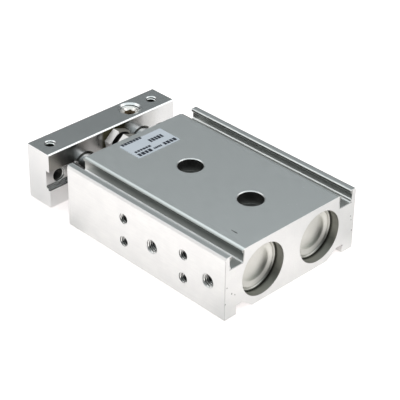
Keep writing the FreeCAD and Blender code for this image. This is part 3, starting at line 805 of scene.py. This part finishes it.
softFinishes = {
    "nitrile": {"colour": (0.02, 0.02, 0.021), "colourShift": (0.032, 0.032, 0.033), "roughness": 0.55},
    "urethane": {"colour": (0.5, 0.33, 0.13), "colourShift": (0.58, 0.4, 0.18), "roughness": 0.45},
    "wearResin": {"colour": (0.68, 0.62, 0.5), "colourShift": (0.73, 0.68, 0.57), "roughness": 0.5},
    "magnet": {"colour": (0.06, 0.06, 0.065), "colourShift": (0.09, 0.09, 0.095), "roughness": 0.6},
    "labelFilm": {"colour": (0.58, 0.65, 0.715), "colourShift": (0.6, 0.67, 0.735), "roughness": 0.42},
    "labelInk": {"colour": (0.012, 0.017, 0.03), "colourShift": (0.02, 0.026, 0.042), "roughness": 0.5},
}

materials = {name: metalFinish(name, {**plainMetal, **s}) for name, s in finishes.items()}
for name, s in softFinishes.items():
    materials[name] = softFinish(name, {**softSettings, **s})
print("finishes made:", len(materials))


# each CAD node keeps its shape and gets its finish

def finishOfSlot(slot):
    # a finish has the name of its slot, without the underscores: nickel_steel is nickelSteel
    first, *others = slot.split("_")
    return materials[first + "".join(word.capitalize() for word in others)]


for part in frame["record"]["subparts"]:
    nodes[part["node"]].material_slots[0].material = finishOfSlot(part["material_slot"])
nodes["lock_nut"].material_slots[0].material = materials["satinNickel"]
print("CAD nodes finished")


# threads in the open holes of the body and the plate

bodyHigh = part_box("housing")[1]
plateLow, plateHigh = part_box("end_plate")

smallThread = {"radius": 2.0, "crest": 1.66, "pitch": 0.7}
largeThread = {"radius": 2.5, "crest": 2.12, "pitch": 0.8}

# "inset" is how far below its face a thread begins
threadSettings = {
    "bodySide": {**smallThread, "x": (-15.0, 15.0), "z": (16.6, 7.2), "inset": 0.35, "depth": 5.6},
    "ports": {**largeThread, "x": (-26.8, 0.6), "z": 12.05, "inset": 0.5, "depth": 3.4},
    "plateFront": {**largeThread, "y": 25.0, "z": 12.1, "inset": 2.3, "depth": 8.9},
    "plateTop": {**smallThread, "x": 63.3, "y": 25.0, "inset": 0.5, "depth": 6.4},
    "clampHole": {"radius": 4.0, "crest": 3.45, "pitch": 1.25, "x": 63.3, "y": -14.0, "inset": 0.6,
                  "depth": 1.3},
    "smooth": 50,
}


def bodyThreads(s):
    bm = bmesh.new()
    hole = s["bodySide"]
    for side in (1, -1):
        inward = alongY * -side
        for x in hole["x"]:
            for z in hole["z"]:
                mouth = Vector((x * mm, side * bodyHigh.y, z * mm)) + inward * hole["inset"] * mm
                threadRidge(bm, mouth, inward, hole)
    port = s["ports"]
    for x in port["x"]:
        mouth = Vector((x * mm, bodyHigh.y - port["inset"] * mm, port["z"] * mm))
        threadRidge(bm, mouth, -alongY, port)
    bmesh.ops.recalc_face_normals(bm, faces=bm.faces)
    smoothBelow(bm, s["smooth"])
    return newPiece("bodyThreads", bm, materials["threadCut"], "body_unit")


def plateThreads(s):
    bm = bmesh.new()
    front = s["plateFront"]
    top = s["plateTop"]
    clamp = s["clampHole"]
    for side in (1, -1):
        mouth = Vector((plateLow.x + front["inset"] * mm, side * front["y"] * mm, front["z"] * mm))
        threadRidge(bm, mouth, alongX, front)
        mouth = Vector((top["x"] * mm, side * top["y"] * mm, plateHigh.z - top["inset"] * mm))
        threadRidge(bm, mouth, -alongZ, top)
    mouth = Vector((clamp["x"] * mm, clamp["y"] * mm, plateHigh.z - clamp["inset"] * mm))
    threadRidge(bm, mouth, -alongZ, clamp)
    bmesh.ops.recalc_face_normals(bm, faces=bm.faces)
    smoothBelow(bm, s["smooth"])
    return newPiece("plateThreads", bm, materials["threadCut"], "rod_unit")


bodyThreads(threadSettings)
plateThreads(threadSettings)
print("threads cut")


# stop screw: head and free end as in the CAD, with a threaded shank between them

stopScrew = {
    "radius": 2.48,
    "crest": 2.97,
    "pitch": 1.0,
    "headBack": 51.3,
    "plainFrom": 62.0,
    "overlap": 0.2,
    "inset": 0.5,
    "steps": 48,
    "threadSteps": 40,
    "smooth": 28,
}


def makeStopScrew(s):
    centre = middleOf("adjuster_bolt")
    bm = bmesh.new()
    bm.from_mesh(nodes["adjuster_bolt"].data)
    bmesh.ops.remove_doubles(bm, verts=bm.verts, dist=weld)
    headBack = s["headBack"] * mm
    plainFrom = s["plainFrom"] * mm
    for x in (headBack, plainFrom):
        everything = list(bm.verts) + list(bm.edges) + list(bm.faces)
        bmesh.ops.bisect_plane(bm, geom=everything, plane_co=(x, 0, 0), plane_no=alongX, dist=weld)
    middle = [f for f in bm.faces if headBack + weld < f.calc_center_median().x < plainFrom - weld]
    bmesh.ops.delete(bm, geom=middle, context="FACES")
    start = Vector((headBack - s["overlap"] * mm, centre.y, centre.z))
    length = plainFrom - headBack + 2 * s["overlap"] * mm
    core = bmesh.ops.create_circle(bm, cap_ends=True, segments=s["steps"], radius=s["radius"] * mm)["verts"]
    turn = Matrix.Rotation(math.pi / 2, 4, "Y")
    bmesh.ops.transform(bm, matrix=Matrix.Translation(start) @ turn, verts=core)
    faces = [f for f in bm.faces if all(v in core for v in f.verts)]
    pushed = bmesh.ops.extrude_face_region(bm, geom=faces)["geom"]
    moved = [v for v in pushed if isinstance(v, bmesh.types.BMVert)]
    bmesh.ops.translate(bm, vec=alongX * length, verts=moved)
    thread = {**s, "depth": length / mm - 2 * s["inset"]}
    threadRidge(bm, start + alongX * s["inset"] * mm, alongX, thread, s["threadSteps"])
    bmesh.ops.recalc_face_normals(bm, faces=bm.faces)
    smoothBelow(bm, s["smooth"])
    return newPiece("stopScrew", bm, materials["satinNickel"], "stop_screw",
                    ["adjuster_bolt"])


makeStopScrew(stopScrew)
print("stop screw made")


# set screw: a countersunk mouth and a hexagon socket

setScrew = {
    "radius": 3.97,
    "edge": 0.5,
    "mouth": 2.9,
    "socket": 2.0,
    "turned": 0.272,
    "depth": 3.0,
    "steps": 96,
    "smooth": 25,
    "finish": {
        "metallic": 0.7,
        "roughness": 0.2,
        "recesses": [
            # painted shade inside the socket, darker towards its floor
            {"low": (0.0608, -0.0165, 0.0190), "high": (0.0658, -0.0115, 0.02165), "mirrored": False,
             "axis": "Z", "fade": (0.0192, 0.0206), "colour": (0.04, 0.03, 0.02),
             "further": (0.5, 0.4, 0.27)},
        ],
    },
}


def makeSetScrew(s):
    # each loop gives, for every step round the screw, a radius and a depth below the top
    low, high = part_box("rod_set_screw")
    centre = middleOf("rod_set_screw")
    centre.z = high.z
    steps = s["steps"]
    radius = s["radius"]
    edge = s["edge"]
    height = (high.z - low.z) / mm
    turns = [2 * math.pi * i / steps for i in range(steps)]
    hexagon = [s["socket"] / math.cos((turn - s["turned"]) % (math.pi / 3) - math.pi / 6) for turn in turns]
    loops = [
        ([radius - edge] * steps, [height] * steps),
        ([radius] * steps, [height - edge] * steps),
        ([radius] * steps, [edge] * steps),
        ([radius - edge] * steps, [0.0] * steps),
        ([s["mouth"]] * steps, [0.0] * steps),
        (hexagon, [s["mouth"] - r for r in hexagon]),
        (hexagon, [s["depth"]] * steps),
    ]

    def placeOn(loop, i):
        across = loop[0][i]
        return centre + Vector((across * math.cos(turns[i]), across * math.sin(turns[i]), -loop[1][i])) * mm

    bm = bmesh.new()
    ring = [bm.verts.new(placeOn(loops[0], i)) for i in range(steps)]
    bm.faces.new(ring)
    edges = list(bm.edges)
    for loop in loops[1:]:
        drawn = bmesh.ops.extrude_edge_only(bm, edges=edges)["geom"]
        edges = [e for e in drawn if isinstance(e, bmesh.types.BMEdge)]
        for vertex in [v for v in drawn if isinstance(v, bmesh.types.BMVert)]:
            turn = math.atan2(vertex.co.y - centre.y, vertex.co.x - centre.x)
            vertex.co = placeOn(loop, round(turn / (2 * math.pi) * steps) % steps)
    bmesh.ops.contextual_create(bm, geom=edges)
    bmesh.ops.recalc_face_normals(bm, faces=bm.faces)
    smoothBelow(bm, s["smooth"])
    finish = metalFinish("setScrewSteel", {**plainMetal, **finishes["nickelSteel"], **s["finish"]})
    return newPiece("setScrew", bm, finish, "rod_unit", ["rod_set_screw"])


makeSetScrew(setScrew)
print("set screw made")


# head covers: the same disc with its rim and dome rounded as pressed

# each point is a radius and a depth below the outer face
headCover = {
    "domeRise": 0.36,
    "domeRadius": 6.0,
    "domeSteps": 8,
    "middleSink": 0.36,
    "pole": 0.001,
    "valley": (6.45, 0.755),
    "rise": [(6.8, 0.735), (7.15, 0.655), (7.55, 0.51), (8.0, 0.33), (8.4, 0.19), (8.7, 0.11)],
    "groove": [(8.82, 0.16), (8.92, 0.34), (9.02, 0.34), (9.12, 0.14)],
    "rim": [(9.2, 0.04), (9.36, 0.0), (9.55, 0.0), (9.7, 0.05)],
    "edge": 0.2,
    "backEdge": 0.1,
    "steps": 128,
    "smooth": 40,
}


def makeHeadCover(name, s):
    low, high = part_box(name)
    centre = Vector((low.x, (low.y + high.y) / 2, (low.z + high.z) / 2))
    outer = (high.z - low.z) / 2 / mm
    thick = (high.x - low.x) / mm
    back = s["backEdge"]
    profile = []
    for i in range(s["domeSteps"] + 1):
        share = i / s["domeSteps"]
        radius = max(s["pole"], s["domeRadius"] * share)
        profile.append((radius, s["middleSink"] + s["domeRise"] * share ** 2))
    profile += [s["valley"]] + s["rise"] + s["groove"] + s["rim"]
    profile += [(outer, s["edge"]), (outer, thick - back), (outer - back, thick), (s["pole"], thick)]
    bm = spunProfile([(a * mm, r * mm) for r, a in profile], centre, alongX, s["steps"])
    smoothBelow(bm, s["smooth"])
    return newPiece(name.replace("head_cover", "headCover"), bm, materials["coverAluminium"], "body_unit",
                    [name])


for name in ("head_cover_a", "head_cover_b"):
    makeHeadCover(name, headCover)
print("head covers made")


# label print: plain bars, with no words

labelPrint = {
    "lift": 0.02,
    "widths": (0.7, 0.86),  # shares of a mark's room, taken in turn
    "bars": [
        {"x": 41.7, "y": (9.2, -0.4), "height": 1.5, "parts": 7},
        {"x": 37.6, "y": (-0.6, -7.4), "height": 2.2, "parts": 5},
        {"x": 34.9, "y": (8.8, 1.0), "height": 1.2, "parts": 6},
        {"x": 32.6, "y": (9.2, 2.5), "height": 1.9, "parts": 4},
        {"x": 32.5, "y": (1.7, -2.3), "height": 1.1, "parts": 5},
        {"x": 32.5, "y": (-3.1, -9.3), "height": 1.9, "parts": 4},
    ],
}


def makeLabelPrint(s):
    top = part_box("label")[1].z + s["lift"] * mm
    bm = bmesh.new()
    for row in s["bars"]:
        start, end = row["y"]
        pitch = (end - start) / row["parts"]
        for i in range(row["parts"]):
            width = abs(pitch) * s["widths"][i % 2]
            centre = Vector((row["x"] * mm, (start + (i + 0.5) * pitch) * mm, top - s["lift"] * mm / 2))
            size = Matrix.Diagonal((row["height"] * mm, width * mm, s["lift"] * mm, 1))
            bmesh.ops.create_cube(bm, size=1.0, matrix=Matrix.Translation(centre) @ size)
    return newPiece("labelPrint", bm, materials["labelInk"], "body_unit")


makeLabelPrint(labelPrint)
print("label printed")


# floor, light and surroundings

studio = {
    "floorSize": 3.0,
    "floorGap": 0.2,
    "floorColour": (0.9, 0.9, 0.895),
    "floorRoughness": 0.9,
    "floorGlow": {"camera": 0.6, "mirrored": 0.48},
    # a painted shadow under the body in the paper's mirrored glow, brightest beside it
    "footprint": {"middle": (0.005, 0.0, 0.0), "half": (0.040, 0.032, 1.0), "under": 0.4, "beside": 0.91,
                  "away": 0.66, "underTo": (-12, 1), "besideTo": (10, 20)},
    # painted patches of light and shade in the paper's mirrored glow
    "spots": [
        {"middle": (0.030, 0.300, 0.0), "from": 0.238, "to": 0.270, "glow": 2.0},
        {"middle": (-0.062, -0.008, 0.0), "from": 0.012, "to": 0.026, "glow": 1.45},
        {"middle": (-0.060, 0.020, 0.0), "from": 0.010, "to": 0.022, "glow": 1.45},
        {"middle": (-0.048, 0.046, 0.0), "from": 0.012, "to": 0.032, "glow": 0.33},
        {"middle": (-0.058, -0.050, 0.0), "from": 0.006, "to": 0.028, "glow": 0.65},
        {"middle": (-0.040, -0.044, 0.0), "from": 0.004, "to": 0.016, "glow": 0.35},
        {"middle": (0.046, 0.031, 0.0), "from": 0.003, "to": 0.012, "glow": 0.55},
        {"middle": (0.076, 0.036, 0.0), "from": 0.006, "to": 0.020, "glow": 0.78},
        {"middle": (0.098, 0.058, 0.0), "from": 0.006, "to": 0.024, "glow": 0.8},
    ],
    "floorTint": (1.0, 0.94, 0.935),
    "ambient": 0.7,
    "wall": [(0.0, 0.19), (0.42, 0.12), (0.5, 0.125), (0.58, 0.15), (0.64, 0.29), (0.7, 0.58), (0.78, 0.88),
             (0.86, 1.0)],
    "facing": (0.7071, -0.7071, 0.0),
    "sides": (-0.5, 0.2),
    "behindCamera": 0.9,
    "wallTint": (1.12, 1.22, 1.25),
    "below": (1.0, 0.99, 0.98),
    "horizon": (-0.02, 0.03),
    "panels": [
        {"name": "panelLeft", "place": (0.55, 0.53, 0.46), "size": 0.7, "power": 1.3},
        {"name": "panelRight", "place": (-0.55, -0.53, 0.46), "size": 0.7, "power": 1.9},
    ],
    "aim": (0.015, 0.0, 0.012),
}


def floorShade(tree, place, s):
    # the paper's glow as the metal mirrors it: a painted shadow under the body, brightest beside it, and
    # painted patches of light and shade
    under = s["footprint"]
    offset = vectorNode(tree, "ABSOLUTE", vectorNode(tree, "SUBTRACT", place, under["middle"]))
    axes = axesOf(tree, vectorNode(tree, "SUBTRACT", offset, under["half"]))
    edge = mathNode(tree, "MAXIMUM", axes["X"], axes["Y"])
    start, end = under["underTo"]
    close = ramp(tree, edge, start * mm, end * mm, under["under"], under["beside"])
    start, end = under["besideTo"]
    far = ramp(tree, edge, start * mm, end * mm, 0.0, under["away"] - under["beside"])
    shade = mathNode(tree, "ADD", close, far)
    for spot in s["spots"]:
        shade = mathNode(tree, "MULTIPLY", shade, spotFactor(tree, place, spot))
    return shade


def makeFloor(s):
    bm = bmesh.new()
    bmesh.ops.create_grid(bm, x_segments=1, y_segments=1, size=s["floorSize"] / 2)
    mesh = bpy.data.meshes.new("floor")
    bm.to_mesh(mesh)
    bm.free()
    floor = bpy.data.objects.new("floor", mesh)
    scene.collection.objects.link(floor)
    floor.location = (0, 0, cadLow.z - s["floorGap"] * mm)
    material, tree, shader, place = startMaterial("floorPaper")
    shader.inputs["Base Color"].default_value = (*s["floorColour"], 1)
    shader.inputs["Roughness"].default_value = s["floorRoughness"]
    path = tree.nodes.new("ShaderNodeLightPath")
    glow = s["floorGlow"]
    direct = mathNode(tree, "MULTIPLY", path.outputs["Is Camera Ray"], glow["camera"])
    bounced = mathNode(tree, "MAXIMUM", path.outputs["Is Glossy Ray"], path.outputs["Is Transmission Ray"])
    bounced = mathNode(tree, "MULTIPLY", bounced, glow["mirrored"])
    bounced = mathNode(tree, "MULTIPLY", bounced, floorShade(tree, place, s))
    shader.inputs["Emission Color"].default_value = (*s["floorTint"], 1)
    join(tree, mathNode(tree, "ADD", direct, bounced), shader.inputs["Emission Strength"])
    mesh.materials.append(material)


def makeWorld(s):
    # mirrored rays see grey walls that end in a white ceiling, a darker side behind the camera, white below
    world = bpy.data.worlds.new("studio")
    scene.world = world
    world.use_nodes = True
    tree = world.node_tree
    background = tree.nodes["Background"]
    direction = tree.nodes.new("ShaderNodeTexCoord").outputs["Generated"]
    facing = vectorNode(tree, "DOT_PRODUCT", direction, s["facing"])
    height = axesOf(tree, direction)["Z"]
    wall = tree.nodes.new("ShaderNodeValToRGB")
    join(tree, height, wall.inputs["Fac"])
    stops = wall.color_ramp.elements
    while len(stops) < len(s["wall"]):
        stops.new(0.5)
    for stop, (position, value) in zip(stops, s["wall"]):
        stop.position = position
        stop.color = (value, value, value, 1)
    side = ramp(tree, facing, *s["sides"], s["behindCamera"], 1.0)
    shade = mixColours(tree, 1.0, wall.outputs["Color"], s["wallTint"], "MULTIPLY")
    shade = mixColours(tree, 1.0, shade, side, "MULTIPLY")
    below = ramp(tree, height, *s["horizon"], 1.0, 0.0)
    shade = mixColours(tree, below, shade, s["below"])
    path = tree.nodes.new("ShaderNodeLightPath")
    shade = mixColours(tree, path.outputs["Is Diffuse Ray"], shade, (s["ambient"],) * 3)
    shade = mixColours(tree, path.outputs["Is Camera Ray"], shade, (1.0, 1.0, 1.0))
    join(tree, shade, background.inputs["Color"])


def makePanels(s):
    for panel in s["panels"]:
        data = bpy.data.lights.new(panel["name"], "AREA")
        data.size = panel["size"]
        data.energy = panel["power"]
        lamp = bpy.data.objects.new(panel["name"], data)
        scene.collection.objects.link(lamp)
        lamp.location = panel["place"]
        aim = Vector(s["aim"]) - lamp.location
        lamp.rotation_mode = "QUATERNION"
        lamp.rotation_quaternion = aim.to_track_quat("-Z", "Y")


makeFloor(studio)
makeWorld(studio)
makePanels(studio)
print("studio lit")
